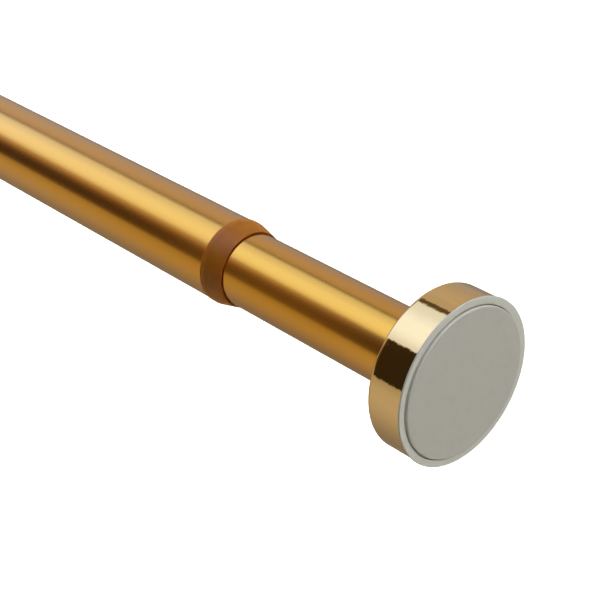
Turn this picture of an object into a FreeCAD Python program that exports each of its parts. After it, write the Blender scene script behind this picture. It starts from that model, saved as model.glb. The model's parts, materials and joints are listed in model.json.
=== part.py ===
import FreeCAD, Part
import math
import os
import Sketcher
from FreeCAD import Placement, Rotation, Vector

# Telescopic spring tension rod. The rod lies along X, from the pad face of the
# larger tube's cap at the origin to the pad face of the smaller tube's cap.
# Sizes are millimetres, degrees or plain counts.

SIZES = {
    # rubber pad
    "pad_flange_overhang": 0.3,      # how far the flange stands out past the cup
    "pad_flange_thickness": 0.5,
    "pad_rim_width": 2.45,           # flange left bare round the raised disc
    "pad_disc_height": 0.6,          # how far the disc stands proud of the flange
    "pad_disc_edge": 1.6,            # width of the disc's soft edge
    "pad_disc_drop": 0.5,            # how far that edge falls away from the face
    "pad_disc_bow": 0.12,            # how far it bulges past a plain bevel
    "pad_flange_round": 0.2,
    "pad_groove_width": 0.5,         # moulded groove round the disc
    "pad_groove_depth": 0.4,
    "pad_web": 2.2,                  # rubber left behind the disc
    "pad_spigot_length": 3.0,        # part that pushes into the cup's mouth
    "pad_spigot_wall": 3.6,
    "pad_fit": 0.05,
    # pressed cup
    "cup_radius": 22.9,
    "cup_length": 11.1,
    "cup_wall": 0.8,
    "cup_back_round": 1.2,
    "cup_hole_radius": 6.2,          # centre hole that locates the cap plug
    # cap fixing
    "cap_screw_radius": 2.0,
    "cap_screw_length": 16.0,
    "cap_screw_head_radius": 4.0,
    "cap_screw_head_height": 2.6,
    "cap_washer_overlap": 2.3,       # how far the washer bears on the cup round its hole
    "cap_washer_thickness": 1.0,
    "screw_clearance": 0.25,         # round a screw in its washer
    "screw_bite": 0.05,              # gap left for the thread in its pilot hole
    "screw_tip": 1.6,
    "recess_width": 1.0,             # cross recess in the screw heads
    "recess_share": 0.55,            # recess depth as a share of the head's height
    # cap plug moulded with ribs
    "cap_plug_length": 20.0,
    "cap_plug_face": 2.5,
    "cap_plug_hub_radius": 4.2,
    "cap_plug_rib": 1.6,
    "cap_plug_ribs": 6,
    "cap_plug_spigot": 0.7,          # how far the plug's locating spigot enters the cup
    "cap_plug_spigot_fit": 0.1,
    "cap_plug_fit": 0.04,
    "cap_plug_lead": 0.8,
    # tubes
    "inner_tube_radius": 11.0,
    "inner_tube_wall": 1.0,
    "tube_gap": 0.7,                 # between the inner tube and the outer tube's bore
    "outer_tube_wall": 1.0,
    "outer_tube_length": 568.0,
    "tube_difference": 130.0,        # how much shorter the inner tube is than the outer
    "exposed_length": 69.6,          # bare inner tube between collar and cup at rest
    "crimp_offset": 8.0,             # rolled groove that holds the guide plug
    "crimp_width": 1.6,
    "crimp_slope": 0.9,
    "crimp_depth": 0.6,
    "crimp_fit": 0.05,
    # collar bushing
    "collar_nose_length": 7.7,
    "collar_step": 0.2,              # how far the band stands out past the outer tube
    "collar_band_length": 1.8,       # plain band before the nose tapers
    "collar_band_round": 4.0,        # soft change from the band to the taper
    "collar_back_round": 0.1,
    "collar_lip": 0.15,              # thickness left at the nose's front edge
    "collar_mouth_gap": 0.5,         # dark gap round the inner tube at the mouth
    "collar_mouth_depth": 1.5,
    "collar_mouth_lead": 0.8,
    "collar_spigot_length": 24.0,
    "collar_press_fit": 0.03,
    "collar_running_fit": 0.06,
    "collar_lead": 0.3,
    # guide plug in the inner tube's hidden end
    "plug_body_length": 22.0,
    "plug_body_fit": 0.04,
    "plug_lead": 0.8,
    "plug_head_gap": 0.3,            # between the plug's head and the outer tube's bore
    "plug_rim_width": 2.0,
    "plug_groove_width": 8.0,
    "plug_groove_depth": 1.4,
    "glide_side_play": 0.15,
    "glide_bore_play": 0.1,
    "glide_running_fit": 0.05,
    "glide_split": 1.5,
    "shank_running_fit": 0.1,
    # tension spring
    "spring_length": 52.0,
    "spring_mean_radius": 8.5,
    "spring_wire_radius": 0.8,
    "spring_active_turns": 5,
    "spring_closed_pitch": 1.7,
    "spring_pilot_play": 0.2,
    "spring_pilot_height": 3.0,
    # lock spindle
    "shank_width": 7.0,
    "shank_edge": 0.6,
    "shank_tail": 3.0,               # shank left past the stop pin
    "seat_lip": 0.5,                 # how far the seat stands out past the spring
    "seat_thickness": 2.5,
    "boss_radius": 7.5,
    "boss_length": 10.0,
    "boss_offset": 1.2,              # eccentric throw
    "stop_washer_gap": 1.4,          # between the washer and the inner tube's bore
    "stop_washer_thickness": 1.0,
    "stop_washer_play": 0.15,
    "stop_gap": 0.05,
    "stop_pin_radius": 1.25,
    "stop_pin_inset": 1.6,           # how far each end lies inside the washer's edge
    "stop_pin_wall": 0.4,
    "stop_pin_slit": 0.5,
    "stop_pin_fit": 0.02,
    # lock cam
    "cam_gap": 0.6,                  # between the cam and the outer tube's bore at rest
    "cam_bore_play": 0.07,
    "cam_side_play": 0.1,
    "cam_flutes": 18,
    "cam_flute_width": 0.9,
    "cam_flute_depth": 0.35,
    "cam_washer_gap": 1.2,           # between the washer and the outer tube's bore
    "cam_washer_thickness": 1.0,
    "cam_screw_radius": 1.75,
    "cam_screw_length": 9.0,
    "cam_screw_head_radius": 3.4,
    "cam_screw_head_height": 2.3,
}

doc = FreeCAD.newDocument("SpringTensionRod")
sheet = doc.addObject("Spreadsheet::Sheet", "Sizes")
for row, (alias, value) in enumerate(SIZES.items(), start=1):
    sheet.set(f"A{row}", alias)
    sheet.set(f"B{row}", str(value))
    sheet.setAlias(f"B{row}", alias)
doc.recompute()

PARTS = []                           # every finished sub-part, in the order it was made


def size(text):
    """Write the words of a formula out as cells of the sheet."""
    words = text.replace("(", " ( ").replace(")", " ) ").split()
    joined = " ".join(f"Sizes.{word}" if word in SIZES else word for word in words)
    return joined.replace("sin (", "sin(").replace("tan (", "tan(")


def number(text):
    """Work a formula out."""
    return float(sheet.evalExpression(size(text)))


# Radii and widths shared by mating pieces
INNER_BORE = "( inner_tube_radius - inner_tube_wall )"
OUTER_BORE = "( inner_tube_radius + tube_gap )"
OUTER_RADIUS = f"( {OUTER_BORE} + outer_tube_wall )"
CUP_BORE = "( cup_radius - cup_wall )"
FLANGE_RADIUS = "( cup_radius + pad_flange_overhang )"
DISC_RADIUS = f"( {FLANGE_RADIUS} - pad_rim_width )"
SPRING_PILOT = "( spring_mean_radius - spring_wire_radius - spring_pilot_play )"
SHANK_CORNER = f"( shank_width * {math.sqrt(0.5):.6f} )"
STOP_WASHER_RADIUS = f"( {INNER_BORE} - stop_washer_gap )"
CAM_BORE = "( boss_radius + cam_bore_play )"

# Stations along a cap, from the wall face
CUP_RIM = "( pad_disc_height + pad_flange_thickness )"
CUP_BACK = f"( {CUP_RIM} + cup_length )"
SCREW_SEAT = f"( {CUP_BACK} - cup_wall - cap_washer_thickness )"

# Stations along the rod, from the far pad face
OUTER_TUBE_END = f"( {CUP_BACK} + outer_tube_length )"
COLLAR_LIP = f"( {OUTER_TUBE_END} + collar_nose_length )"
ROD_END = f"( {COLLAR_LIP} + exposed_length + {CUP_BACK} )"
INNER_TUBE_LENGTH = "( outer_tube_length - tube_difference )"
INNER_TUBE_START = f"( {ROD_END} - {CUP_BACK} - {INNER_TUBE_LENGTH} )"
PLUG_HEAD = "( plug_groove_width + 2 * plug_rim_width )"
PLUG_START = f"( {INNER_TUBE_START} - {PLUG_HEAD} )"
SPRING_START = f"( {PLUG_START} - spring_length )"
SPINDLE_START = f"( {SPRING_START} - seat_thickness - boss_length )"
PLUG_END = f"( {INNER_TUBE_START} + plug_body_length )"
PIN_STATION = f"( {PLUG_END} + 2 * stop_gap + stop_washer_thickness + stop_pin_radius )"


def origin_item(body, role):
    for item in body.Origin.OriginFeatures:
        if item.Role == role:
            return item
    raise ValueError(role)


def new_body(name, start, turned_round=False, up="0"):
    """A body that starts at a station along the rod, facing back down it if turned round."""
    body = doc.addObject("PartDesign::Body", name)
    body.Label = name
    if turned_round:
        body.Placement = Placement(Vector(0, 0, 0), Rotation(Vector(0, 0, 1), 180))
    body.setExpression("Placement.Base.x", size(start))
    body.setExpression("Placement.Base.z", size(up))
    PARTS.append(body)
    return body


def new_sketch(body, name, role, station="0"):
    sketch = body.newObject("Sketcher::SketchObject", f"{body.Name}_{name}")
    sketch.AttachmentSupport = (origin_item(body, role), [""])
    sketch.MapMode = "FlatFace"
    if station != "0":
        sketch.setExpression("AttachmentOffset.Base.z", size(station))
    return sketch


def hold_point(sketch, geometry, place, across, up):
    """Tie one point of a sketch to formulas of the sheet."""
    for kind, formula in (("DistanceX", across), ("DistanceY", up)):
        index = sketch.addConstraint(
            Sketcher.Constraint(kind, -1, 1, geometry, place, number(formula)))
        sketch.setExpression(f"Constraints[{index}]", size(formula))


def outline(body, name, role, corners, station="0", bows=None):
    """A closed outline through corners. A bow lifts the side that starts at a corner into an arc."""
    sketch = new_sketch(body, name, role, station)
    points = [Vector(number(a), number(b), 0) for a, b in corners]
    bows = bows or {}
    for i, point in enumerate(points):
        after = points[(i + 1) % len(points)]
        if i in bows:
            side = after - point
            lift = Vector(-side.y, side.x, 0).normalize() * number(bows[i])
            sketch.addGeometry(Part.Arc(point, (point + after) * 0.5 + lift, after), False)
        else:
            sketch.addGeometry(Part.LineSegment(point, after), False)
    starts = []
    ends = []
    for i, point in enumerate(points):
        first = sketch.getPoint(i, 1)
        forward = first.distanceToPoint(point) < 1e-6
        starts.append(1 if forward else 2)
        ends.append(2 if forward else 1)
    for i in range(len(points)):
        after = (i + 1) % len(points)
        sketch.addConstraint(Sketcher.Constraint("Coincident", i, ends[i], after, starts[after]))
    for i, (across, up) in enumerate(corners):
        hold_point(sketch, i, starts[i], across, up)
    for i, bow in bows.items():
        (a, b), (c, d) = corners[i], corners[(i + 1) % len(corners)]
        square = f"( ( {c} - {a} ) ^ 2 + ( {d} - {b} ) ^ 2 )"
        index = sketch.addConstraint(Sketcher.Constraint("Radius", i, sketch.Geometry[i].Radius))
        sketch.setExpression(f"Constraints[{index}]", size(f"( {square} / 8 / {bow} + {bow} / 2 )"))
    return sketch


def circles(body, name, radii, up="0", role="YZ_Plane", across="0"):
    """Concentric circles about a point of the plane."""
    sketch = new_sketch(body, name, role)
    centre = Vector(number(across), number(up), 0)
    for i, radius in enumerate(radii):
        sketch.addGeometry(Part.Circle(centre, Vector(0, 0, 1), number(radius)), False)
        index = sketch.addConstraint(Sketcher.Constraint("Radius", i, number(radius)))
        sketch.setExpression(f"Constraints[{index}]", size(radius))
        hold_point(sketch, i, 3, across, up)
    return sketch


def rectangle(body, name, width, height, station="0", low=None):
    """A rectangle square to the rod, centred on it, or standing from a height where low is given."""
    half = f"( {width} / 2 )"
    bottom = low if low else f"( 0 - {height} / 2 )"
    top = f"( {low} + {height} )" if low else f"( {height} / 2 )"
    left = f"( 0 - {half} )"
    corners = [(left, bottom), (half, bottom), (half, top), (left, top)]
    return outline(body, name, "YZ_Plane", corners, station)


def feature(body, kind, name, profile=None):
    item = body.newObject(f"PartDesign::{kind}", f"{body.Name}_{name}")
    if profile is not None:
        item.Profile = (profile, [""])
        profile.Visibility = False
    return item


def turn(body, corners, name="turned", bows=None):
    """Revolve an outline of (station, radius) corners about the rod's axis."""
    profile = outline(body, f"{name}_outline", "XY_Plane", corners, bows=bows)
    item = feature(body, "Revolution", name, profile)
    item.ReferenceAxis = (origin_item(body, "X_Axis"), [""])
    item.Angle = 360
    doc.recompute()
    return item


def pad(body, profile, length, name):
    item = feature(body, "Pad", name, profile)
    item.setExpression("Length", size(length))
    doc.recompute()
    return item


def cut(body, profile, length, name):
    """Cut from a sketch towards +X by a length."""
    item = feature(body, "Pocket", name, profile)
    item.setExpression("Length", size(length))
    item.Reversed = True
    doc.recompute()
    return item


def cut_through(body, profile, length, name):
    """Cut the same distance to both sides of a sketch."""
    item = feature(body, "Pocket", name, profile)
    item.setExpression("Length", size(length))
    item.Midplane = True
    doc.recompute()
    return item


def pattern(body, original, count, name, angle=360):
    item = feature(body, "PolarPattern", name)
    item.Originals = [original]
    item.Axis = (origin_item(body, "X_Axis"), [""])
    item.Angle = angle
    item.setExpression("Occurrences", size(count))
    body.Tip = item
    doc.recompute()
    return item


def round_ring(body, base, station, radius, rounding, name):
    """Round the circular edge that stands at a station and a radius."""
    x, r = number(station), number(radius)
    names = []
    for i, edge in enumerate(base.Shape.Edges, start=1):
        if not isinstance(edge.Curve, Part.Circle):
            continue
        if abs(edge.Curve.Center.x - x) < 1e-4 and abs(edge.Curve.Radius - r) < 1e-4:
            names.append(f"Edge{i}")
    if not names:
        raise ValueError(f"{body.Label}: no edge at {x}, {r} to round")
    item = feature(body, "Fillet", name)
    item.Base = (base, names)
    item.setExpression("Radius", size(rounding))
    doc.recompute()
    return item


def make_pad(name, start, turned_round):
    """Rubber pad: raised disc, flange over the cup's rim and a hollow spigot."""
    body = new_body(name, start, turned_round)
    flange = "pad_disc_height"
    spigot = f"( {CUP_BORE} - pad_fit )"
    spigot_end = f"( {CUP_RIM} + pad_spigot_length )"
    groove = "( pad_disc_height + pad_groove_depth )"
    groove_edge = f"( {DISC_RADIUS} + pad_groove_width )"
    turned = turn(body, [
        ("0", "0"),
        ("0", f"( {DISC_RADIUS} - pad_disc_edge )"),
        ("pad_disc_drop", DISC_RADIUS),
        (groove, DISC_RADIUS),
        (groove, groove_edge),
        (flange, groove_edge),
        (flange, FLANGE_RADIUS),
        (CUP_RIM, FLANGE_RADIUS),
        (CUP_RIM, spigot),
        (spigot_end, spigot),
        (spigot_end, f"( {spigot} - pad_spigot_wall )"),
        ("pad_web", f"( {spigot} - pad_spigot_wall )"),
        ("pad_web", "0"),
    ], bows={1: "pad_disc_bow"})
    round_ring(body, turned, flange, FLANGE_RADIUS, "pad_flange_round", "flange_edge")


def make_shell(name, start, turned_round):
    """Pressed cup: skirt and flat floor with a hole that locates the plug."""
    body = new_body(name, start, turned_round)
    floor = f"( {CUP_BACK} - cup_wall )"
    turned = turn(body, [
        (CUP_RIM, "cup_radius"),
        (CUP_BACK, "cup_radius"),
        (CUP_BACK, "cup_hole_radius"),
        (floor, "cup_hole_radius"),
        (floor, CUP_BORE),
        (CUP_RIM, CUP_BORE),
    ])
    round_ring(body, turned, CUP_BACK, "cup_radius", "cup_back_round", "back_edge")


def make_washer(name, start, radius, hole, thickness, turned_round=False, up="0"):
    body = new_body(name, start, turned_round, up)
    turn(body, [("0", hole), ("0", radius), (thickness, radius), (thickness, hole)])


def make_screw(name, start, prefix, turned_round=False, up="0"):
    """Pan-head tapping screw with a cross recess. It starts at the top of its head."""
    body = new_body(name, start, turned_round, up)
    shank = f"{prefix}_screw_radius"
    head = f"{prefix}_screw_head_radius"
    height = f"{prefix}_screw_head_height"
    tip = f"( {height} + {prefix}_screw_length )"
    turn(body, [
        ("0", "0"),
        ("0", f"( {head} - {height} / 2 )"),
        (f"( {height} / 2 )", head),
        (height, head),
        (height, shank),
        (f"( {tip} - screw_tip )", shank),
        (tip, f"( {shank} / 4 )"),
        (tip, "0"),
    ])
    depth = f"( {height} * recess_share )"
    arm = cut(body, rectangle(body, "recess_sketch", "recess_width", head), depth, "recess_arm")
    pattern(body, arm, "2", "recess", 90)


def make_cap_plug(name, start, turned_round, bore):
    """Plug in the tube's mouth that the cap screw bites into, cored out between its ribs."""
    body = new_body(name, start, turned_round)
    outer = f"( {bore} - cap_plug_fit )"
    pilot = "( cap_screw_radius + screw_bite )"
    spigot = "( cup_hole_radius - cap_plug_spigot_fit )"
    front = "( 0 - cap_plug_spigot )"
    turn(body, [
        (front, pilot),
        (front, spigot),
        ("0", spigot),
        ("0", outer),
        ("( cap_plug_length - cap_plug_lead )", outer),
        ("cap_plug_length", f"( {outer} - cap_plug_lead )"),
        ("cap_plug_length", pilot),
    ])
    lean = "( 180 deg / cap_plug_ribs )"
    apex = f"( cap_plug_rib / 2 / sin {lean} )"
    low_half = f"( ( cap_plug_hub_radius - {apex} ) * tan {lean} )"
    top_half = f"( ( {bore} - {apex} ) * tan {lean} )"
    core_sketch = outline(body, "core_sketch", "YZ_Plane", [
        (f"( 0 - {low_half} )", "cap_plug_hub_radius"),
        (low_half, "cap_plug_hub_radius"),
        (top_half, bore),
        (f"( 0 - {top_half} )", bore),
    ], "cap_plug_face")
    core = cut(body, core_sketch, "cap_plug_length", "core")
    pattern(body, core, "cap_plug_ribs", "cores")


def make_cap(side, face, turned_round, bore):
    """One whole end cap: pad, cup, screw, washer and plug, set back from its wall face."""
    away = "-" if turned_round else "+"
    make_pad(f"{side}_cap_pad", face, turned_round)
    make_shell(f"{side}_cap_shell", face, turned_round)
    make_washer(f"{side}_cap_washer", f"( {face} {away} {SCREW_SEAT} )",
                "( cup_hole_radius + cap_washer_overlap )", "( cap_screw_radius + screw_clearance )",
                "cap_washer_thickness", turned_round)
    head_top = f"( {SCREW_SEAT} - cap_screw_head_height )"
    make_screw(f"{side}_cap_screw", f"( {face} {away} {head_top} )", "cap", turned_round)
    make_cap_plug(f"{side}_cap_plug", f"( {face} {away} {CUP_BACK} )", turned_round, bore)


def make_outer_tube():
    body = new_body("outer_tube", CUP_BACK)
    turn(body, [
        ("0", OUTER_BORE),
        ("0", OUTER_RADIUS),
        ("outer_tube_length", OUTER_RADIUS),
        ("outer_tube_length", OUTER_BORE),
    ])


def make_inner_tube():
    """Inner tube with a groove rolled into its hidden end to grip the guide plug."""
    body = new_body("inner_tube", INNER_TUBE_START)
    outside = [
        ("0", "inner_tube_radius"),
        ("crimp_offset", "inner_tube_radius"),
        ("( crimp_offset + crimp_slope )", "( inner_tube_radius - crimp_depth )"),
        ("( crimp_offset + crimp_slope + crimp_width )", "( inner_tube_radius - crimp_depth )"),
        ("( crimp_offset + 2 * crimp_slope + crimp_width )", "inner_tube_radius"),
        (INNER_TUBE_LENGTH, "inner_tube_radius"),
    ]
    inside = [(x, f"( {r} - inner_tube_wall )") for x, r in reversed(outside)]
    turn(body, outside + inside)


def make_collar():
    """Moulded collar: band, tapered nose, lead-in mouth and a long bearing spigot."""
    body = new_body("collar", f"( {OUTER_TUBE_END} - collar_spigot_length )")
    spigot = f"( {OUTER_BORE} - collar_press_fit )"
    bore = "( inner_tube_radius + collar_running_fit )"
    mouth = "( inner_tube_radius + collar_mouth_gap )"
    lip = "( collar_spigot_length + collar_nose_length )"
    throat = f"( {lip} - collar_mouth_depth )"
    band = f"( {OUTER_RADIUS} + collar_step )"
    band_end = "( collar_spigot_length + collar_band_length )"
    turned = turn(body, [
        ("0", bore),
        ("0", f"( {spigot} - collar_lead )"),
        ("collar_lead", spigot),
        ("collar_spigot_length", spigot),
        ("collar_spigot_length", band),
        (band_end, band),
        (lip, f"( {mouth} + collar_lip )"),
        (lip, mouth),
        (throat, mouth),
        (f"( {throat} - collar_mouth_lead )", bore),
    ])
    taper = round_ring(body, turned, band_end, band, "collar_band_round", "taper_edge")
    round_ring(body, taper, "collar_spigot_length", band, "collar_back_round", "back_edge")


def make_guide_plug():
    """Guide plug: head with the glide ring's groove, spring pilot, and body gripped by the crimp."""
    body = new_body("guide_plug", PLUG_START)
    head = f"( {OUTER_BORE} - plug_head_gap )"
    floor = f"( {head} - plug_groove_depth )"
    grip = f"( {INNER_BORE} - plug_body_fit )"
    neck = f"( {INNER_BORE} - crimp_depth - crimp_fit )"
    tail = f"( {PLUG_HEAD} + plug_body_length )"
    groove_start = f"( {PLUG_HEAD} + crimp_offset - crimp_fit )"
    groove_end = f"( {PLUG_HEAD} + crimp_offset + 2 * crimp_slope + crimp_width + crimp_fit )"
    turn(body, [
        ("( 0 - spring_pilot_height )", "0"),
        ("( 0 - spring_pilot_height )", SPRING_PILOT),
        ("0", SPRING_PILOT),
        ("0", head),
        ("plug_rim_width", head),
        ("plug_rim_width", floor),
        ("( plug_rim_width + plug_groove_width )", floor),
        ("( plug_rim_width + plug_groove_width )", head),
        (PLUG_HEAD, head),
        (PLUG_HEAD, grip),
        (groove_start, grip),
        (f"( {groove_start} + crimp_slope )", neck),
        (f"( {groove_end} - crimp_slope )", neck),
        (groove_end, grip),
        (f"( {tail} - plug_lead )", grip),
        (tail, f"( {grip} - plug_lead )"),
        (tail, "0"),
    ])
    width = "( shank_width + 2 * shank_running_fit )"
    start = "( 0 - spring_pilot_height )"
    cut(body, rectangle(body, "shank_hole_sketch", width, width, start),
        f"( {tail} + spring_pilot_height )", "shank_hole")


def make_glide_ring():
    """Split nylon ring that keeps the hidden end of the inner tube central."""
    body = new_body("glide_ring", f"( {PLUG_START} + plug_rim_width + glide_side_play )")
    length = "( plug_groove_width - 2 * glide_side_play )"
    inside = f"( {OUTER_BORE} - plug_head_gap - plug_groove_depth + glide_bore_play )"
    outside = f"( {OUTER_BORE} - glide_running_fit )"
    turn(body, [("0", inside), ("0", outside), (length, outside), (length, inside)])
    cut(body, rectangle(body, "split_sketch", "glide_split", outside, low=f"( {inside} / 2 )"),
        length, "split")


def make_spindle():
    """Spindle: square shank, spring seat and pilot, and the eccentric boss that carries the cam."""
    body = new_body("lock_spindle", SPINDLE_START)
    seat_radius = "( spring_mean_radius + spring_wire_radius + seat_lip )"
    seat_end = "( boss_length + seat_thickness )"
    turn(body, [
        ("boss_length", "0"),
        ("boss_length", seat_radius),
        (seat_end, seat_radius),
        (seat_end, SPRING_PILOT),
        (f"( {seat_end} + spring_pilot_height )", SPRING_PILOT),
        (f"( {seat_end} + spring_pilot_height )", "0"),
    ], "seat")
    pad(body, circles(body, "boss_sketch", ["boss_radius"], up="boss_offset"), "boss_length", "boss")
    half = "( shank_width / 2 )"
    low = f"( 0 - {half} )"
    inset = f"( {half} - shank_edge )"
    minus_inset = f"( 0 - {inset} )"
    shank_sketch = outline(body, "shank_sketch", "YZ_Plane", [
        (minus_inset, low), (inset, low), (half, minus_inset), (half, inset),
        (inset, half), (minus_inset, half), (low, inset), (low, minus_inset),
    ], seat_end)
    pin = f"( {PIN_STATION} - {SPINDLE_START} )"
    shank_end = f"( {pin} + stop_pin_radius + shank_tail )"
    pad(body, shank_sketch, f"( {shank_end} - {seat_end} )", "shank")
    depth = "( cam_screw_length - cam_washer_thickness + screw_bite )"
    pilot = circles(body, "screw_hole_sketch", ["( cam_screw_radius + screw_bite )"], up="boss_offset")
    cut(body, pilot, depth, "screw_hole")
    hole_sketch = circles(body, "pin_hole_sketch", ["( stop_pin_radius + stop_pin_fit )"],
                          role="XY_Plane", across=pin)
    cut_through(body, hole_sketch, "( 2 * shank_width )", "pin_hole")


def make_stop_pin():
    """Rolled pin through the shank, slit along its length."""
    body = new_body("stop_pin", PIN_STATION)
    length = f"( 2 * ( {STOP_WASHER_RADIUS} - stop_pin_inset ) )"
    rings = ["stop_pin_radius", "( stop_pin_radius - stop_pin_wall )"]
    roll = pad(body, circles(body, "roll_sketch", rings, role="XY_Plane"), length, "roll")
    roll.Midplane = True
    doc.recompute()
    half = "( stop_pin_slit / 2 )"
    top = "( 2 * stop_pin_radius )"
    slit_sketch = outline(body, "slit_sketch", "XY_Plane", [
        (f"( 0 - {half} )", "0"), (half, "0"), (half, top), (f"( 0 - {half} )", top),
    ])
    cut_through(body, slit_sketch, f"( 2 * {length} )", "slit")


def make_cam():
    """Cam ring: eccentric bore on the spindle's boss, fluted outside to grip the outer tube."""
    body = new_body("lock_cam", f"( {SPINDLE_START} + cam_side_play )")
    width = "( boss_length - 2 * cam_side_play )"
    outside = f"( {OUTER_BORE} - cam_gap )"
    turn(body, [("0", "0"), ("0", outside), (width, outside), (width, "0")])
    cut(body, circles(body, "bore_sketch", [CAM_BORE], up="boss_offset"), width, "bore")
    flute_sketch = rectangle(body, "flute_sketch", "cam_flute_width", "( 2 * cam_flute_depth )",
                             low=f"( {outside} - cam_flute_depth )")
    flute = cut(body, flute_sketch, width, "flute")
    pattern(body, flute, "cam_flutes", "flutes")


def make_spring():
    """Compression spring with closed, ground ends. Each half turn is an arc in a tilted plane."""
    radius = number("spring_mean_radius")
    wire = number("spring_wire_radius")
    length = number("spring_length")
    closed = number("spring_closed_pitch")
    turns = int(number("spring_active_turns"))
    pitches = [closed] + [(length - 2 * closed) / turns] * turns + [closed]
    arcs = []
    along = 0.0
    side = 1
    for pitch in pitches:
        for half_turn in range(2):
            start = Vector(along, side * radius, 0)
            middle = Vector(along + pitch / 4, 0, side * math.hypot(radius, pitch / 4))
            end = Vector(along + pitch / 2, -side * radius, 0)
            arcs.append(Part.Arc(start, middle, end).toShape())
            along += pitch / 2
            side = -side
    section = Part.Wire([Part.makeCircle(wire, Vector(0, radius, 0), Vector(0, 0, 1))])
    coil = Part.Wire(arcs).makePipeShell([section], True, False)
    reach = radius + 2 * wire
    ground = Part.makeCylinder(reach, length, Vector(0, 0, 0), Vector(1, 0, 0))
    spring = doc.addObject("Part::Feature", "tension_spring")
    spring.Label = "tension_spring"
    solids = sorted(coil.common(ground).Solids, key=lambda solid: solid.Volume)
    spring.Shape = solids[-1]
    spring.Placement = Placement(Vector(number(SPRING_START), 0, 0), Rotation())
    PARTS.append(spring)


def check_parts():
    """Stop if anything failed to build, or if a cut or an addition changed nothing."""
    for item in doc.Objects:
        if "Invalid" in item.State or "Error" in item.State:
            raise RuntimeError(f"{item.Label} is {item.State}")
    for part in PARTS:
        if part.Shape.isNull() or not part.Shape.isValid() or len(part.Shape.Solids) != 1:
            raise RuntimeError(f"{part.Label} is not one valid solid")
        if part.TypeId != "PartDesign::Body":
            continue
        volume = 0.0
        for item in part.Group:
            if not item.TypeId.startswith("PartDesign::"):
                continue
            grew = item.Shape.Volume - volume
            removes = item.TypeId.endswith(("Pocket", "Fillet", "Chamfer"))
            if abs(grew) < 1e-3 or (removes and grew > 0):
                raise RuntimeError(f"{item.Label} changed nothing or added where it should cut")
            volume = item.Shape.Volume


make_outer_tube()
make_collar()
make_cap("outer", "0", False, OUTER_BORE)
make_inner_tube()
make_cap("inner", ROD_END, True, INNER_BORE)
make_guide_plug()
make_glide_ring()
make_spring()
make_spindle()
make_washer("stop_washer", f"( {PLUG_END} + stop_gap )", STOP_WASHER_RADIUS,
            f"( {SHANK_CORNER} + stop_washer_play )", "stop_washer_thickness")
make_stop_pin()
make_cam()
make_washer("cam_washer", f"( {SPINDLE_START} - cam_washer_thickness )",
            f"( {OUTER_BORE} - boss_offset - cam_washer_gap )",
            "( cam_screw_radius + screw_clearance )",
            "cam_washer_thickness", up="boss_offset")
make_screw("cam_screw", f"( {SPINDLE_START} - cam_washer_thickness - cam_screw_head_height )",
           "cam", up="boss_offset")

doc.recompute()
check_parts()

os.makedirs("parts", exist_ok=True)
for part in PARTS:
    part.Shape.exportStep(os.path.join("parts", f"{part.Label}.step"))
    box = part.Shape.BoundBox
    print(f"{part.Label:16s} x {box.XMin:8.2f} to {box.XMax:8.2f}   volume {part.Shape.Volume:10.1f}")
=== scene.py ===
import bmesh
import bpy
import json
import math
from mathutils import Matrix, Vector


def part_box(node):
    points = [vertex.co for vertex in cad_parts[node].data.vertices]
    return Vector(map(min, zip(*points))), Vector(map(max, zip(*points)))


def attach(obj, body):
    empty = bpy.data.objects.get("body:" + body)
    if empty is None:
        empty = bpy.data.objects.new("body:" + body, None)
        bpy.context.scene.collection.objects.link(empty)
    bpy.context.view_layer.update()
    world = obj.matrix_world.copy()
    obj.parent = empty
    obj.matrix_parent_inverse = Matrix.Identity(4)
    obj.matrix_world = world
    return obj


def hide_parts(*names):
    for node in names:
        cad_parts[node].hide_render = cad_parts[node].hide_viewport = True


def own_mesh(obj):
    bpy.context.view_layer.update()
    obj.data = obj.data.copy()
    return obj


# Telescopic tension rod: satin gold tubes, amber collar, bright gold cups and grey rubber pads.
# Everything is in metres along X, with the larger tube's pad face at the origin.

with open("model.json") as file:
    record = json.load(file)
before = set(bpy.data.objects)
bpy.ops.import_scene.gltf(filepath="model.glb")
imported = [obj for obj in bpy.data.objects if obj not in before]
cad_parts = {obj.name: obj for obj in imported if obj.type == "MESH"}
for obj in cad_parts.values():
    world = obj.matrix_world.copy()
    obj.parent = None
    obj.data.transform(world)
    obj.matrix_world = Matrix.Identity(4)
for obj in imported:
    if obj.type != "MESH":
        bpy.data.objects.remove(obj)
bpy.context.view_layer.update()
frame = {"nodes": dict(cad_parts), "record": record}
mm = 0.001
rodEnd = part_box("inner_cap_pad")[1].x    # pad face of the smaller tube's cap
colourA, colourB, colourOut = 6, 7, 2    # a Mix node's colour sockets
print("frame loaded:", len(frame["nodes"]), "nodes")


def linear(hexColour):
    # sRGB hex to the linear colour that the shaders take
    parts = [int(hexColour[i:i + 2], 16) / 255 for i in (1, 3, 5)]
    return [c / 12.92 if c <= 0.04045 else ((c + 0.055) / 1.055) ** 2.4 for c in parts] + [1.0]


def perMetre(sizeMm):
    # texture scale for a feature of that many millimetres
    return 1000 / sizeMm


def addNode(tree, kind, settings=None, inputs=None):
    # adds one node; an input is a value, or a (node, output) pair to link from
    node = tree.nodes.new(kind)
    for name, value in (settings or {}).items():
        setattr(node, name, value)
    for name, value in (inputs or {}).items():
        if isinstance(value, tuple) and isinstance(value[0], bpy.types.Node):
            tree.links.new(value[0].outputs[value[1]], node.inputs[name])
        else:
            node.inputs[name].default_value = value
    return node


def newMaterial(name, surface):
    # a material with one Principled surface, and the object's own coordinates to place patterns with
    material = bpy.data.materials.new(name)
    material.use_nodes = True
    tree = material.node_tree
    shader = tree.nodes["Principled BSDF"]
    for socket, value in surface.items():
        shader.inputs[socket].default_value = value
    return material, tree, shader, addNode(tree, "ShaderNodeTexCoord")


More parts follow.
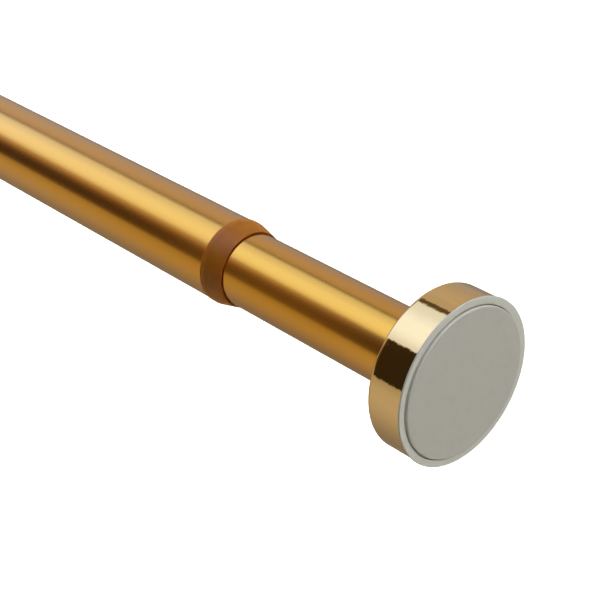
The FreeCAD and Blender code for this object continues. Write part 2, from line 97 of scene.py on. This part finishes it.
def feedSurface(shader, inputs):
    # links (node, output) pairs to the sockets of a surface or background that is already there
    for name, (node, output) in inputs.items():
        shader.id_data.links.new(node.outputs[output], shader.inputs[name])


def cornerPoints(before, corner, after, radius, steps=6):
    # the arc that rounds one corner of a profile
    corner = Vector(corner)
    toBefore = (Vector(before) - corner).normalized()
    toAfter = (Vector(after) - corner).normalized()
    half = toBefore.angle(toAfter) / 2
    reach = radius / math.tan(half)
    centre = corner + (toBefore + toAfter).normalized() * (radius / math.sin(half))
    start = corner + toBefore * reach - centre
    end = corner + toAfter * reach - centre
    turn = start.angle_signed(end)
    return [centre + Matrix.Rotation(-turn * i / steps, 2) @ start for i in range(steps + 1)]


def roundedProfile(corners):
    # closed outline from (station, radius, rounding) corners, with a point just outside each
    # end of an arc, so that the shading of the long flat sides stays flat
    margin = 0.03 * mm
    points = []
    for i, (x, r, rounding) in enumerate(corners):
        if rounding:
            before = Vector(corners[i - 1][:2])
            after = Vector(corners[(i + 1) % len(corners)][:2])
            arc = cornerPoints(before, (x, r), after, rounding)
            points.append(arc[0] + (before - arc[0]).normalized() * margin)
            points += arc
            points.append(arc[-1] + (after - arc[-1]).normalized() * margin)
        else:
            points.append(Vector((x, r)))
    return points


def finishedMesh(name, verts, faces, smoothUnder=30):
    # a mesh piece with outward normals, shaded smooth where faces meet at under smoothUnder degrees
    mesh = bpy.data.meshes.new(name)
    mesh.from_pydata(verts, [], faces)
    shape = bmesh.new()
    shape.from_mesh(mesh)
    bmesh.ops.recalc_face_normals(shape, faces=shape.faces)
    shape.to_mesh(mesh)
    shape.free()
    mesh.shade_smooth()
    mesh.set_sharp_from_angle(angle=math.radians(smoothUnder))
    piece = bpy.data.objects.new(name, mesh)
    bpy.context.scene.collection.objects.link(piece)
    return piece


def lathe(name, corners, sides=224):
    # turns a closed profile about the rod's axis; a point on the axis is one vertex
    onAxis = 0.0001 * mm
    verts = []
    rings = []
    for p in roundedProfile(corners):
        if p.y < onAxis:
            rings.append([len(verts)] * sides)
            verts.append((p.x, 0, 0))
            continue
        rings.append(range(len(verts), len(verts) + sides))
        for k in range(sides):
            angle = 2 * math.pi * k / sides
            verts.append((p.x, p.y * math.cos(angle), p.y * math.sin(angle)))
    faces = []
    for i, ring in enumerate(rings):
        after = rings[(i + 1) % len(rings)]
        for k in range(sides):
            n = (k + 1) % sides
            face = list(dict.fromkeys((ring[k], after[k], after[n], ring[n])))
            if len(face) > 2:
                faces.append(face)
    return finishedMesh(name, verts, faces)


def standFor(piece, body, node, slotName):
    # the piece takes a CAD node's place, rides on its body and has its finish
    piece.data.materials.append(finishes[slotName])
    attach(piece, body)
    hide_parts(node)


def turnedRound(corners):
    # the same profile at the rod's other end
    return [(rodEnd - x, r, rounding) for x, r, rounding in corners]


def satinAnodisedAluminium():
    # Extruded aluminium, etched satin and dyed gold. A soft metal sheen, with faint lengthwise
    # lines from the die and a fine grain from the etch, under a clear oxide layer.
    look = {
        "gold": "#B07A1E",
        "goldInLines": "#AA731A",
        "lineWidthMm": 0.6,         # real die lines are near 0.1 mm, drawn coarser so that they show
        "lineLengthMm": 80.0,
        "grainMm": 0.3,             # the etched grain is near 0.05 mm, also drawn coarser
        "grainShare": 0.15,         # the rest of the marks is lines
        "markDepthMm": 0.00015,
        "roughness": 0.19,
        "addedRoughness": 0.04,     # in the deepest marks
        "oxideWeight": 0.25,
        "oxideRoughness": 0.3,
        "oxideIor": 1.6,
    }
    material, tree, shader, place = newMaterial("satinAnodisedAluminium", {
        "Metallic": 1.0, "Coat Weight": look["oxideWeight"],
        "Coat Roughness": look["oxideRoughness"], "Coat IOR": look["oxideIor"]})
    across = perMetre(look["lineWidthMm"])
    stretched = addNode(tree, "ShaderNodeMapping", {}, {
        "Vector": (place, "Object"), "Scale": (perMetre(look["lineLengthMm"]), across, across)})
    lines = addNode(tree, "ShaderNodeTexNoise", {}, {
        "Vector": (stretched, "Vector"), "Scale": 1.0, "Detail": 2.0})
    grain = addNode(tree, "ShaderNodeTexNoise", {}, {
        "Vector": (place, "Object"), "Scale": perMetre(look["grainMm"]), "Detail": 1.0})
    marks = addNode(tree, "ShaderNodeMix", {}, {
        "Factor": look["grainShare"], "A": (lines, "Fac"), "B": (grain, "Fac")})
    colour = addNode(tree, "ShaderNodeMix", {"data_type": "RGBA"}, {
        "Factor": (marks, "Result"),
        colourA: linear(look["gold"]), colourB: linear(look["goldInLines"])})
    roughness = addNode(tree, "ShaderNodeMath", {"operation": "MULTIPLY_ADD"}, {
        0: (marks, "Result"), 1: look["addedRoughness"], 2: look["roughness"]})
    bump = addNode(tree, "ShaderNodeBump", {}, {
        "Height": (marks, "Result"), "Distance": look["markDepthMm"] * mm})
    feedSurface(shader, {
        "Base Color": (colour, colourOut), "Roughness": (roughness, 0), "Normal": (bump, "Normal")})
    return material


def brightGoldPlate():
    # Pressed steel, plated bright gold and lacquered. A near mirror, a little uneven from the
    # pressing and with a fine pitted grain under the plate.
    look = {
        "gold": "#B8965F",
        "goldInGrain": "#B08C56",
        "unevenMm": 1.6,            # waves left in the sheet by the pressing
        "unevenDepthMm": 0.017,
        "grainMm": 0.3,             # the pits are near 0.1 mm, drawn coarser so that they show
        "grainDepthMm": 0.002,
        "roughness": 0.06,
        "lacquerWeight": 0.1,
        "lacquerRoughness": 0.08,
    }
    material, tree, shader, place = newMaterial("brightGoldPlate", {
        "Metallic": 1.0, "Roughness": look["roughness"],
        "Coat Weight": look["lacquerWeight"], "Coat Roughness": look["lacquerRoughness"]})
    uneven = addNode(tree, "ShaderNodeTexNoise", {}, {
        "Vector": (place, "Object"), "Scale": perMetre(look["unevenMm"]), "Detail": 1.0})
    grain = addNode(tree, "ShaderNodeTexNoise", {}, {
        "Vector": (place, "Object"), "Scale": perMetre(look["grainMm"]), "Detail": 2.0})
    colour = addNode(tree, "ShaderNodeMix", {"data_type": "RGBA"}, {
        "Factor": (grain, "Fac"),
        colourA: linear(look["gold"]), colourB: linear(look["goldInGrain"])})
    waves = addNode(tree, "ShaderNodeBump", {}, {
        "Height": (uneven, "Fac"), "Distance": look["unevenDepthMm"] * mm})
    bump = addNode(tree, "ShaderNodeBump", {}, {
        "Height": (grain, "Fac"), "Distance": look["grainDepthMm"] * mm,
        "Normal": (waves, "Normal")})
    feedSurface(shader, {"Base Color": (colour, colourOut), "Normal": (bump, "Normal")})
    return material


def greyRubber():
    # Thermoplastic rubber, moulded with a fine matt grain on the disc's face and a smoother rim.
    # Soft and dry to the eye, faintly mottled where it has been handled.
    look = {
        "face": "#A3A198",
        "rim": "#B4B4A9",
        "handled": "#99968C",
        "paintedShadeOnEdge": "#8C8A81",    # painted shade on the flange's outer edge, to dim the light that edge catches
        "rimRadiusMm": (20.6, 20.9),    # from the axis, where the face turns into the rim
        "edgeRadiusMm": (22.95, 23.2),
        "mottleMm": 3.0,
        "mottleFrom": 0.5,          # levels of the mottle between which it darkens
        "mottleTo": 0.8,
        "mottleMost": 0.4,
        "grainMm": 0.5,             # mould grain is near 0.1 mm, drawn coarser so that it shows
        "grainDepthMm": 0.012,
        "grainStrength": 0.6,
        "roughness": 0.62,
        "ior": 1.5,
        "specular": 0.4,            # dry rubber shines less than its index says
    }
    material, tree, shader, place = newMaterial("greyRubber", {
        "Roughness": look["roughness"], "IOR": look["ior"],
        "Specular IOR Level": look["specular"]})
    # the distance from the rod's axis tells the face from its rim and edge
    fromAxis = addNode(tree, "ShaderNodeVectorMath", {"operation": "MULTIPLY"}, {
        0: (place, "Object"), 1: (0, 1, 1)})
    radius = addNode(tree, "ShaderNodeVectorMath", {"operation": "LENGTH"}, {0: (fromAxis, 0)})
    atRim = addNode(tree, "ShaderNodeMapRange", {"interpolation_type": "SMOOTHSTEP"}, {
        "Value": (radius, "Value"), "From Min": look["rimRadiusMm"][0] * mm,
        "From Max": look["rimRadiusMm"][1] * mm})
    atEdge = addNode(tree, "ShaderNodeMapRange", {"interpolation_type": "SMOOTHSTEP"}, {
        "Value": (radius, "Value"), "From Min": look["edgeRadiusMm"][0] * mm,
        "From Max": look["edgeRadiusMm"][1] * mm})
    mottle = addNode(tree, "ShaderNodeTexNoise", {}, {
        "Vector": (place, "Object"), "Scale": perMetre(look["mottleMm"]), "Detail": 4.0})
    grain = addNode(tree, "ShaderNodeTexNoise", {}, {
        "Vector": (place, "Object"), "Scale": perMetre(look["grainMm"]), "Detail": 2.0})
    handled = addNode(tree, "ShaderNodeMapRange", {}, {
        "Value": (mottle, "Fac"), "From Min": look["mottleFrom"],
        "From Max": look["mottleTo"], "To Max": look["mottleMost"]})
    face = addNode(tree, "ShaderNodeMix", {"data_type": "RGBA"}, {
        "Factor": (handled, "Result"),
        colourA: linear(look["face"]), colourB: linear(look["handled"])})
    # the rim darkens at the flange's outer edge: painted shade that dims the light this edge catches
    rim = addNode(tree, "ShaderNodeMix", {"data_type": "RGBA"}, {
        "Factor": (atEdge, "Result"),
        colourA: linear(look["rim"]), colourB: linear(look["paintedShadeOnEdge"])})
    colour = addNode(tree, "ShaderNodeMix", {"data_type": "RGBA"}, {
        "Factor": (atRim, "Result"), colourA: (face, colourOut), colourB: (rim, colourOut)})
    bump = addNode(tree, "ShaderNodeBump", {}, {
        "Height": (grain, "Fac"), "Distance": look["grainDepthMm"] * mm,
        "Strength": look["grainStrength"]})
    feedSurface(shader, {"Base Color": (colour, colourOut), "Normal": (bump, "Normal")})
    return material


def amberPolypropylene():
    # Polypropylene, moulded and slightly see-through. Light enters its thin lip and glows
    # orange there, while the thick band stays a deep red-brown under a soft matt sheen.
    look = {
        "amber": "#814F05",
        "amberThick": "#724204",
        "glowDepthMm": 2.0,
        "glowReach": (1.0, 0.35, 0.08),    # red light travels furthest in it
        "cloudMm": 4.0,
        "cloudDetail": 3.0,
        "grainMm": 0.4,             # fine spark-eroded grain, drawn coarser so that it shows
        "grainDepthMm": 0.006,
        "grainStrength": 0.5,
        "roughness": 0.42,
        "ior": 1.49,
        "specular": 0.1,            # the eroded skin breaks up its shine
    }
    material, tree, shader, place = newMaterial("amberPolypropylene", {
        "Roughness": look["roughness"], "IOR": look["ior"],
        "Specular IOR Level": look["specular"], "Subsurface Weight": 1.0,
        "Subsurface Radius": look["glowReach"], "Subsurface Scale": look["glowDepthMm"] * mm})
    cloud = addNode(tree, "ShaderNodeTexNoise", {}, {
        "Vector": (place, "Object"), "Scale": perMetre(look["cloudMm"]),
        "Detail": look["cloudDetail"]})
    grain = addNode(tree, "ShaderNodeTexNoise", {}, {
        "Vector": (place, "Object"), "Scale": perMetre(look["grainMm"]), "Detail": 1.0})
    colour = addNode(tree, "ShaderNodeMix", {"data_type": "RGBA"}, {
        "Factor": (cloud, "Fac"),
        colourA: linear(look["amber"]), colourB: linear(look["amberThick"])})
    bump = addNode(tree, "ShaderNodeBump", {}, {
        "Height": (grain, "Fac"), "Distance": look["grainDepthMm"] * mm,
        "Strength": look["grainStrength"]})
    feedSurface(shader, {"Base Color": (colour, colourOut), "Normal": (bump, "Normal")})
    return material


def mouldedNylon(name, look):
    # Nylon, moulded: waxy, slightly cloudy, with soft flow marks. The black grade has glass in it.
    nylon = {"ior": 1.53, "glowDepthMm": 1.5, "glowReach": (1.0, 0.9, 0.75), "flowTwist": 0.8}
    material, tree, shader, place = newMaterial(name, {
        "Roughness": look["roughness"], "IOR": nylon["ior"], "Subsurface Weight": look["waxiness"],
        "Subsurface Radius": nylon["glowReach"], "Subsurface Scale": nylon["glowDepthMm"] * mm})
    flow = addNode(tree, "ShaderNodeTexNoise", {}, {
        "Vector": (place, "Object"), "Scale": perMetre(look["flowMm"]), "Detail": 3.0,
        "Distortion": nylon["flowTwist"]})
    colour = addNode(tree, "ShaderNodeMix", {"data_type": "RGBA"}, {
        "Factor": (flow, "Fac"),
        colourA: linear(look["colour"]), colourB: linear(look["flowColour"])})
    bump = addNode(tree, "ShaderNodeBump", {}, {
        "Height": (flow, "Fac"), "Distance": look["flowDepthMm"] * mm})
    feedSurface(shader, {"Base Color": (colour, colourOut), "Normal": (bump, "Normal")})
    return material


def steel(name, look):
    # Steel, zinc plated in a barrel or drawn to wire: a grey metal with small even marks.
    material, tree, shader, place = newMaterial(name, {"Metallic": 1.0})
    marks = addNode(tree, "ShaderNodeTexNoise", {}, {
        "Vector": (place, "Object"), "Scale": perMetre(look["markMm"]), "Detail": 3.0})
    colour = addNode(tree, "ShaderNodeMix", {"data_type": "RGBA"}, {
        "Factor": (marks, "Fac"),
        colourA: linear(look["colour"]), colourB: linear(look["markColour"])})
    roughness = addNode(tree, "ShaderNodeMath", {"operation": "MULTIPLY_ADD"}, {
        0: (marks, "Fac"), 1: look["addedRoughness"], 2: look["roughness"]})
    feedSurface(shader, {"Base Color": (colour, colourOut), "Roughness": (roughness, 0)})
    return material


finishes = {
    "tube_anodised": satinAnodisedAluminium(),
    "cup_plated": brightGoldPlate(),
    "pad_rubber": greyRubber(),
    "collar_plastic": amberPolypropylene(),
    "plug_nylon": mouldedNylon("naturalNylon", {
        "colour": "#E0DED2", "flowColour": "#D3D0C0", "flowMm": 5.0, "flowDepthMm": 0.02,
        "roughness": 0.45, "waxiness": 0.3}),
    "glide_nylon": mouldedNylon("whiteNylon", {
        "colour": "#EEECE4", "flowColour": "#E2DFD4", "flowMm": 4.0, "flowDepthMm": 0.015,
        "roughness": 0.4, "waxiness": 0.35}),
    "spindle_nylon": mouldedNylon("glassFilledNylon", {
        "colour": "#26262A", "flowColour": "#303034", "flowMm": 3.0, "flowDepthMm": 0.03,
        "roughness": 0.5, "waxiness": 0.0}),
    "spring_steel": steel("drawnSpringSteel", {
        "colour": "#8E8F92", "markColour": "#77787C", "markMm": 0.8, "roughness": 0.3,
        "addedRoughness": 0.15}),
    "zinc_steel": steel("zincPlatedSteel", {
        "colour": "#C3C6CB", "markColour": "#ABAFB6", "markMm": 1.2, "roughness": 0.28,
        "addedRoughness": 0.15}),
}
for part in frame["record"]["subparts"]:
    for holder in frame["nodes"][part["node"]].material_slots:
        holder.material = finishes[part["material_slot"]]
print("finishes made:", len(finishes))


def makeTubes():
    tube = {"wall": 1.0 * mm, "edgeRound": 0.15 * mm}
    low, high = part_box("outer_tube")
    bore = high.z - tube["wall"]
    corners = [(x, r, tube["edgeRound"]) for x, r in (
        (low.x, bore), (low.x, high.z), (high.x, high.z), (high.x, bore))]
    standFor(lathe("outerTube", corners), "outer", "outer_tube", "tube_anodised")

    # the smaller tube has a groove rolled in near its hidden end
    groove = {"start": 8.0 * mm, "slope": 0.9 * mm, "width": 1.6 * mm, "depth": 0.6 * mm,
              "rounding": 0.4 * mm}
    low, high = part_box("inner_tube")
    bottom = high.z - groove["depth"]
    start = low.x + groove["start"]
    end = start + 2 * groove["slope"] + groove["width"]
    outside = [
        (low.x, high.z, tube["edgeRound"]),
        (start, high.z, groove["rounding"]),
        (start + groove["slope"], bottom, groove["rounding"]),
        (end - groove["slope"], bottom, groove["rounding"]),
        (end, high.z, groove["rounding"]),
        (high.x, high.z, tube["edgeRound"]),
    ]
    inside = [(x, r - tube["wall"], rounding) for x, r, rounding in reversed(outside)]
    standFor(lathe("innerTube", outside + inside), "inner", "inner_tube", "tube_anodised")


def makeCollar():
    collar = {
        "step": 0.2 * mm,           # the band stands this far out past the larger tube
        "bandLength": 1.8 * mm,
        "bandRound": 2.2 * mm,
        "backRound": 0.12 * mm,
        "spigotFit": 1.03 * mm,     # the spigot is this much smaller than the tube's outside
        "spigotLead": 0.3 * mm,     # chamfer that guides it into the tube
        "lip": 0.45 * mm,           # width of the lip's flat end
        "lipRound": 0.15 * mm,
        "mouthRound": 0.06 * mm,
        "mouthGap": 0.09 * mm,      # this gap and the bore's are round the smaller tube
        "mouthDepth": 0.25 * mm,
        "mouthLead": 0.8 * mm,
        "boreGap": 0.06 * mm,
        "boreRound": 0.1 * mm,
    }
    low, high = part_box("collar")
    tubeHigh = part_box("outer_tube")[1]
    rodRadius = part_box("inner_tube")[1].z
    spigot = tubeHigh.z - collar["spigotFit"]
    band = tubeHigh.z + collar["step"]
    mouth = rodRadius + collar["mouthGap"]
    bore = rodRadius + collar["boreGap"]
    throat = high.x - collar["mouthDepth"]
    corners = [
        (low.x, bore, collar["boreRound"]),
        (low.x, spigot - collar["spigotLead"], 0),
        (low.x + collar["spigotLead"], spigot, 0),
        (tubeHigh.x, spigot, 0),
        (tubeHigh.x, band, collar["backRound"]),
        (tubeHigh.x + collar["bandLength"], band, collar["bandRound"]),
        (high.x, mouth + collar["lip"], collar["lipRound"]),
        (high.x, mouth, collar["mouthRound"]),
        (throat, mouth, 0),
        (throat - collar["mouthLead"], bore, 0),
    ]
    standFor(lathe("collarBushing", corners), "outer", "collar", "collar_plastic")


def makeCaps():
    pad = {
        "discHeight": 0.6 * mm,
        "rimWidth": 2.4 * mm,
        "discEdge": 0.45 * mm,      # width of the disc's soft edge
        "discDrop": 0.3 * mm,       # how far that edge falls away
        "edgeSteps": 10,
        "grooveWidth": 0.33 * mm,
        "grooveDepth": 0.8 * mm,
        "seatAcross": -0.29 * mm,   # the groove's outer wall is off centre, so the gap is uneven
        "seatUp": 0.1 * mm,
        "seatRound": 0.1 * mm,
        "flange": 0.5 * mm,
        "flangeRound": 0.3 * mm,
        "flangeBackRound": 0.1 * mm,
        "web": 2.2 * mm,            # thickness of the pad's middle
        "spigotLength": 3.0 * mm,
        "spigotFit": 0.05 * mm,
        "spigotWall": 3.6 * mm,
        "spigotRound": 0.3 * mm,
        "sides": 256,
    }
    cup = {
        "wall": 0.8 * mm,
        "length": 11.1 * mm,
        "backRound": 1.2 * mm,
        "rimRound": 0.2 * mm,
        "holeRadius": 6.2 * mm,
        "sides": 256,
    }
    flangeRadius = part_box("outer_cap_pad")[1].z
    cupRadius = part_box("outer_cap_shell")[1].z
    rim = pad["discHeight"] + pad["flange"]
    discRadius = flangeRadius - pad["rimWidth"]
    grooveEnd = discRadius + pad["grooveWidth"]
    grooveFloor = pad["discHeight"] + pad["grooveDepth"]
    slack = 0.001 * mm
    seatNear, seatFar = discRadius + slack, grooveEnd + 2 * pad["seatRound"]
    spigot = cupRadius - cup["wall"] - pad["spigotFit"]
    hollow = spigot - pad["spigotWall"]
    edge = []
    for i in range(pad["edgeSteps"] + 1):
        angle = math.radians(90 * i / pad["edgeSteps"])
        edge.append((pad["discDrop"] * (1 - math.cos(angle)),
                     discRadius - pad["discEdge"] * (1 - math.sin(angle)), 0))
    padCorners = [(0, 0, 0)] + edge + [
        (grooveFloor, discRadius, 0),
        (grooveFloor, grooveEnd, 0),
        (pad["discHeight"], grooveEnd, pad["seatRound"]),
        (pad["discHeight"], flangeRadius, pad["flangeRound"]),
        (rim, flangeRadius, pad["flangeBackRound"]),
        (rim, spigot, 0),
        (rim + pad["spigotLength"], spigot, pad["spigotRound"]),
        (rim + pad["spigotLength"], hollow, pad["spigotRound"]),
        (pad["web"], hollow, 0),
        (pad["web"], 0, 0),
    ]
    back = rim + cup["length"]
    bore = cupRadius - cup["wall"]
    cupCorners = [
        (rim, bore, cup["rimRound"]),
        (rim, cupRadius, cup["rimRound"]),
        (back, cupRadius, cup["backRound"]),
        (back, cup["holeRadius"], cup["rimRound"]),
        (back - cup["wall"], cup["holeRadius"], cup["rimRound"]),
        (back - cup["wall"], bore, cup["rimRound"]),
    ]
    for body, padLine, cupLine in (
            ("outer", padCorners, cupCorners),
            ("inner", turnedRound(padCorners), turnedRound(cupCorners))):
        piece = lathe(body + "Pad", padLine, pad["sides"])
        face = padLine[0][0]
        for vertex in piece.data.vertices:    # only the rings of the groove's outer wall move
            x, y, z = vertex.co
            if abs(x - face) < grooveFloor + slack and seatNear < math.hypot(y, z) < seatFar:
                vertex.co.y += pad["seatAcross"]
                vertex.co.z += pad["seatUp"]
        standFor(piece, body, body + "_cap_pad", "pad_rubber")
        piece = lathe(body + "Cup", cupLine, cup["sides"])
        standFor(piece, body, body + "_cap_shell", "cup_plated")


def makeSpring():
    # wound wire with closed, ground ends, built at one length; the real spring shortens as the lock
    # is pushed up the smaller tube
    coil = {
        "wire": 0.8 * mm,           # radius of the wire
        "activeTurns": 5,
        "closedPitch": 1.7 * mm,
        "shortest": 24.0 * mm,
        "sides": 14,
        "stepsPerTurn": 48,
    }
    low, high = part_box("tension_spring")
    length = high.x - low.x
    meanRadius = high.y - coil["wire"]
    pitch = (length - 2 * coil["closedPitch"]) / coil["activeTurns"]
    turns = coil["activeTurns"] + 2    # and a closed one at each end
    verts = []
    faces = []
    steps = turns * coil["stepsPerTurn"]
    for i in range(steps + 1):
        turn = i / coil["stepsPerTurn"]
        openTurns = min(max(turn - 1, 0), coil["activeTurns"])
        along = openTurns * pitch + (turn - openTurns) * coil["closedPitch"]
        around = 2 * math.pi * turn
        for k in range(coil["sides"]):
            angle = 2 * math.pi * k / coil["sides"]
            r = meanRadius + coil["wire"] * math.cos(angle)
            x = min(max(along + coil["wire"] * math.sin(angle), 0), length)    # ground flat
            verts.append((low.x + x, r * math.cos(around), r * math.sin(around)))
    for i in range(steps):
        for k in range(coil["sides"]):
            n = (k + 1) % coil["sides"]
            a, b = i * coil["sides"], (i + 1) * coil["sides"]
            faces.append((a + k, b + k, b + n, a + n))
    faces.append(tuple(range(coil["sides"])))
    faces.append(tuple(range(steps * coil["sides"], (steps + 1) * coil["sides"])))
    piece = finishedMesh("woundSpring", verts, faces)
    standFor(piece, "inner", "tension_spring", "spring_steel")
    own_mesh(piece)


makeTubes()
makeCollar()
makeCaps()
makeSpring()
print("tubes, collar, caps and spring made")


def stageSheet(name, radius, ends, stops, strength, seenBy):
    # part of a long cylinder about the rod, graded from colour to colour by the angle over the
    # rod. The camera never sees it. It lights and shades matt surfaces ("diffuse"), shows in
    # reflections ("glossy") or does both.
    stepDegrees = 3
    material = bpy.data.materials.new(name)
    material.use_nodes = True
    tree = material.node_tree
    tree.nodes.clear()
    output = addNode(tree, "ShaderNodeOutputMaterial")
    grade = addNode(tree, "ShaderNodeVertexColor", {"layer_name": "grade"})
    light = addNode(tree, "ShaderNodeEmission", {}, {"Color": (grade, "Color"), "Strength": strength})
    tree.links.new(light.outputs[0], output.inputs["Surface"])
    verts = []
    colours = []
    for (start, startColour), (end, endColour) in zip(stops, stops[1:]):
        steps = max(1, round((end - start) / stepDegrees))
        for i in range(steps + 1):
            part = i / steps
            angle = math.radians(start + (end - start) * part)
            mixed = [a + (b - a) * part for a, b in zip(linear(startColour), linear(endColour))]
            verts += [(x, radius * math.cos(angle), radius * math.sin(angle)) for x in ends]
            colours += mixed + mixed
    faces = [(i, i + 1, i + 3, i + 2) for i in range(0, len(verts) - 2, 2)]
    mesh = bpy.data.meshes.new(name)
    mesh.from_pydata(verts, [], faces)
    mesh.color_attributes.new("grade", "FLOAT_COLOR", "POINT").data.foreach_set("color", colours)
    sheet = bpy.data.objects.new(name, mesh)
    bpy.context.scene.collection.objects.link(sheet)
    sheet.data.materials.append(material)
    sheet.visible_camera = False
    sheet.visible_diffuse = "diffuse" in seenBy
    sheet.visible_shadow = "diffuse" in seenBy
    sheet.visible_glossy = "glossy" in seenBy


def seenDirectly(tree):
    # 1 for rays that show the surroundings: to the camera, in metal or through glass
    path = addNode(tree, "ShaderNodeLightPath")
    glossy = addNode(tree, "ShaderNodeMath", {"operation": "MAXIMUM"}, {
        0: (path, "Is Camera Ray"), 1: (path, "Is Glossy Ray")})
    return addNode(tree, "ShaderNodeMath", {"operation": "MAXIMUM"}, {
        0: (glossy, 0), 1: (path, "Is Transmission Ray")})


def makeStudio():
    studio = {
        "floorDrop": 0.25,          # floor below the rod's axis
        "floorReach": 4.0,
        "floorColour": "#E6E3DE",
        "floorLift": (0.35, 1.0),   # added to what is seen of it, near and far, for white paper
        "floorFade": (0.5, 1.4),    # distances between which it rises, as the light falls off
        "ambient": 0.22,            # level of the plain white surroundings on matt surfaces
        "sheetEnds": (-2.2, 2.2),   # how far the sheets run along the rod
        "flagSteps": (-0.29, -0.03),    # where along the rod the front flag changes
        "surroundStep": 0.47,       # and where the surround does
    }
    left, right = studio["sheetEnds"]
    flagLeft, flagRight = studio["flagSteps"]
    cupSide = studio["surroundStep"]
    underAndBehind = [
        (293, "#948471"), (303, "#847969"), (337, "#8C8379"), (353, "#A1978C"), (361, "#BCB3AA"),
        (369, "#D1C8BB"), (385, "#E4DDCF"), (400, "#F7F2E8"), (416, "#FFFFFF")]
    # The stops are degrees over the rod, from behind (0) over the top (90) to the front (180) and
    # below (270). The cup, the smaller tube and the larger one mirror different stretches of the
    # flag and the surround, which are lighter and warmer where the satin tubes see them.
    sheets = {
        "softbox": {
            "radius": 1.15, "ends": (left, right), "strength": 3.6, "seenBy": "diffuse",
            "stops": [(48, "#FFFFFF"), (114, "#FFFFFF")]},
        "softboxGloss": {
            "radius": 1.1, "ends": (left, right), "strength": 5.2, "seenBy": "glossy",
            "stops": [
                (65.5, "#868A87"), (67, "#3A3224"), (72.8, "#3A3224"), (74.5, "#98AFD8"),
                (86, "#9CB5E6"), (94, "#A5BFF6"), (102, "#ACC7FF"), (118, "#ACC7FF"),
                (127, "#A5BCF0"), (135, "#96A9D8")]},
        "frontFlag": {
            "radius": 0.9, "ends": (flagRight, right), "strength": 1.0, "seenBy": "diffuse glossy",
            "stops": [(136, "#463C2A"), (187, "#463C2A")]},
        "frontFlagMiddle": {
            "radius": 0.9, "ends": (flagLeft, flagRight), "strength": 1.0,
            "seenBy": "diffuse glossy",
            "stops": [
                (136, "#FFEBC8"), (142, "#F2DDB8"), (150, "#C0A87C"), (160, "#A68C54"),
                (178, "#A08A50"), (187, "#B8A26A")]},
        "frontFlagLeft": {
            "radius": 0.9, "ends": (left, flagLeft), "strength": 1.0, "seenBy": "diffuse glossy",
            "stops": [
                (136, "#FFEBC8"), (142, "#F2DDB8"), (150, "#A08A60"), (160, "#5E4A28"),
                (178, "#55431F"), (187, "#7A653A")]},
        "surroundLeft": {
            "radius": 0.23, "ends": (left, cupSide), "strength": 1.06, "seenBy": "glossy",
            "stops": [
                (185.3, "#DED6AE"), (198, "#F2EAB8"), (214, "#F4ECBC"), (230, "#E8E0BE"),
                (246, "#CFC5A6"), (262, "#B5A98C"), (277, "#A19173")] + underAndBehind},
        "surround": {
            "radius": 0.23, "ends": (cupSide, right), "strength": 1.06, "seenBy": "glossy",
            "stops": [
                (185.3, "#E4E2DE"), (198, "#FAFAF8"), (214, "#FCFCFA"), (230, "#EDEAE2"),
                (246, "#D3CDC0"), (262, "#B7AE9B"), (277, "#A39479")] + underAndBehind},
    }
    for name, sheet in sheets.items():
        stageSheet(name, **sheet)

    far = studio["floorReach"]
    level = -studio["floorDrop"]
    mesh = bpy.data.meshes.new("floor")
    mesh.from_pydata([(-far, -far, level), (far, -far, level), (far, far, level),
                      (-far, far, level)], [], [(0, 1, 2, 3)])
    floor = bpy.data.objects.new("floor", mesh)
    bpy.context.scene.collection.objects.link(floor)
    # Uncoated paper, matt: it takes a soft shadow and shows no shine.
    material, tree, shader, place = newMaterial("palePaper", {
        "Roughness": 1.0, "Specular IOR Level": 0.0, "Base Color": linear(studio["floorColour"]),
        "Emission Color": linear("#FFFFFF")})
    distance = addNode(tree, "ShaderNodeVectorMath", {"operation": "DISTANCE"}, {
        0: (place, "Object"), 1: (rodEnd / 2, 0, level)})
    lift = addNode(tree, "ShaderNodeMapRange", {"interpolation_type": "SMOOTHSTEP"}, {
        "Value": (distance, "Value"),
        "From Min": studio["floorFade"][0], "From Max": studio["floorFade"][1],
        "To Min": studio["floorLift"][0], "To Max": studio["floorLift"][1]})
    seen = addNode(tree, "ShaderNodeMath", {"operation": "MULTIPLY"}, {
        0: (seenDirectly(tree), 0), 1: (lift, "Result")})
    feedSurface(shader, {"Emission Strength": (seen, 0)})
    floor.data.materials.append(material)

    world = bpy.data.worlds.new("whiteSurroundings")
    bpy.context.scene.world = world
    world.use_nodes = True
    tree = world.node_tree
    brightness = addNode(tree, "ShaderNodeMapRange", {}, {
        "Value": (seenDirectly(tree), 0), "To Min": studio["ambient"], "To Max": 1.0})
    background = tree.nodes["Background"]
    background.inputs["Color"].default_value = linear("#FFFFFF")
    feedSurface(background, {"Strength": (brightness, "Result")})


def makeCamera():
    view = {
        "lensMm": 90.8,
        "sensorMm": 36.0,
        "nearest": 0.01,            # nothing closer than this is drawn
        "place": (0.8778, -0.2453, 0.2015),
        "azimuth": 47.7,            # 0 looks along +Y, 90 along -X
        "elevation": 29.1,
    }
    lens = bpy.data.cameras.new("camera")
    lens.lens = view["lensMm"]
    lens.sensor_width = view["sensorMm"]
    lens.clip_start = view["nearest"]
    camera = bpy.data.objects.new("camera", lens)
    camera.location = view["place"]
    camera.rotation_euler = (math.radians(90 - view["elevation"]), 0,
                             math.radians(view["azimuth"]))
    bpy.context.scene.collection.objects.link(camera)
    bpy.context.scene.camera = camera


makeStudio()
makeCamera()
bpy.context.scene.view_settings.view_transform = "Standard"
print("studio and camera made")
